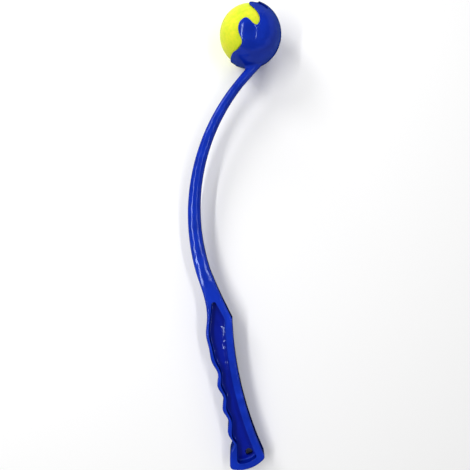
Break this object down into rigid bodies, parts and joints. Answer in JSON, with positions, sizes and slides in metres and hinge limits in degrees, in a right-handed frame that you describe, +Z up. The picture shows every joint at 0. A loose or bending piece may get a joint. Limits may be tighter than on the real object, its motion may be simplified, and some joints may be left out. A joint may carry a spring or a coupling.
{
  "type": "dog ball thrower",
  "caption": "Moulded dog ball thrower with a fingered snap cup, a curved arm, a finger-grooved grip with a hang hole, and the felt ball it holds.",
  "frame": {"origin": "centre of the footprint, on the surface that the thrower lies on", "axes": "+Y along the thrower from the grip to the cup, +X from the mouth of the cup towards its back, +Z up from the surface"},
  "size_m": [0.1004, 0.4972, 0.0677],
  "materials": {
    "thrower_plastic": "gloss",
    "core_rubber": "matte",
    "ball_felt": "matte",
    "seam_rubber": "matte"
  },
  "bodies": {
    "thrower": {"ball_cup": "thrower_plastic", "throwing_arm": "thrower_plastic", "grip_handle": "thrower_plastic"},
    "ball": {"core_front_half": "core_rubber", "core_back_half": "core_rubber", "felt_panel_front": "ball_felt", "felt_panel_back": "ball_felt", "seam_cement": "seam_rubber"}
  },
  "joints": [
    {"name": "ball_release", "type": "slide", "parent": "thrower", "child": "ball", "axis": [-0.9239, 0.3822, 0.019], "range_m": [0, 0.08], "deforming": ["ball_cup"]}
  ]
}
